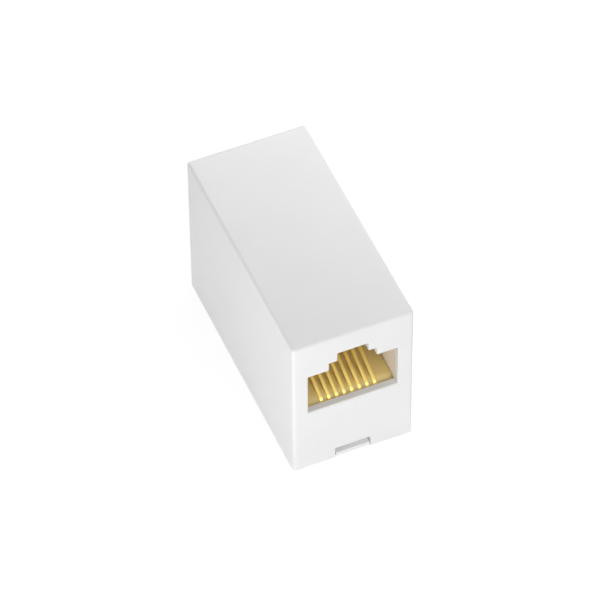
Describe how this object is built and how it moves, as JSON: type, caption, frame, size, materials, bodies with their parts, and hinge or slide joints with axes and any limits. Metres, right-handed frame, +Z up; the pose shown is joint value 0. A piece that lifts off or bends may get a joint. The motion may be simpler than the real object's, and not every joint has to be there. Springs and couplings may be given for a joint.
{
  "type": "rj45 inline coupler",
  "caption": "Box-shaped inline coupler with an eight-contact plug socket in each end, for joining two network leads.",
  "frame": {"origin": "centre of the underside, on the surface that the coupler stands on", "axes": "+Z up through the roof, +Y from port A to port B along the length, +X to the right when looking into port A"},
  "size_m": [0.016, 0.0336, 0.023],
  "materials": {
    "housing": "white moulded plastic, fine satin",
    "cover": "white moulded plastic, fine satin",
    "board": "green solder mask",
    "jack": "off-white moulded plastic",
    "carrier": "off-white moulded plastic",
    "contact": "gold-plated strip, polished"
  },
  "bodies": {
    "root": {"housing": "housing", "base_cover": "cover", "circuit_board": "board", "jack_body_a": "jack", "jack_body_b": "jack", "contact_carrier_a": "carrier", "contact_carrier_b": "carrier", "contact_a1": "contact", "contact_a2": "contact", "contact_a3": "contact", "contact_a4": "contact", "contact_a5": "contact", "contact_a6": "contact", "contact_a7": "contact", "contact_a8": "contact", "contact_b1": "contact", "contact_b2": "contact", "contact_b3": "contact", "contact_b4": "contact", "contact_b5": "contact", "contact_b6": "contact", "contact_b7": "contact", "contact_b8": "contact"}
  },
  "joints": []
}
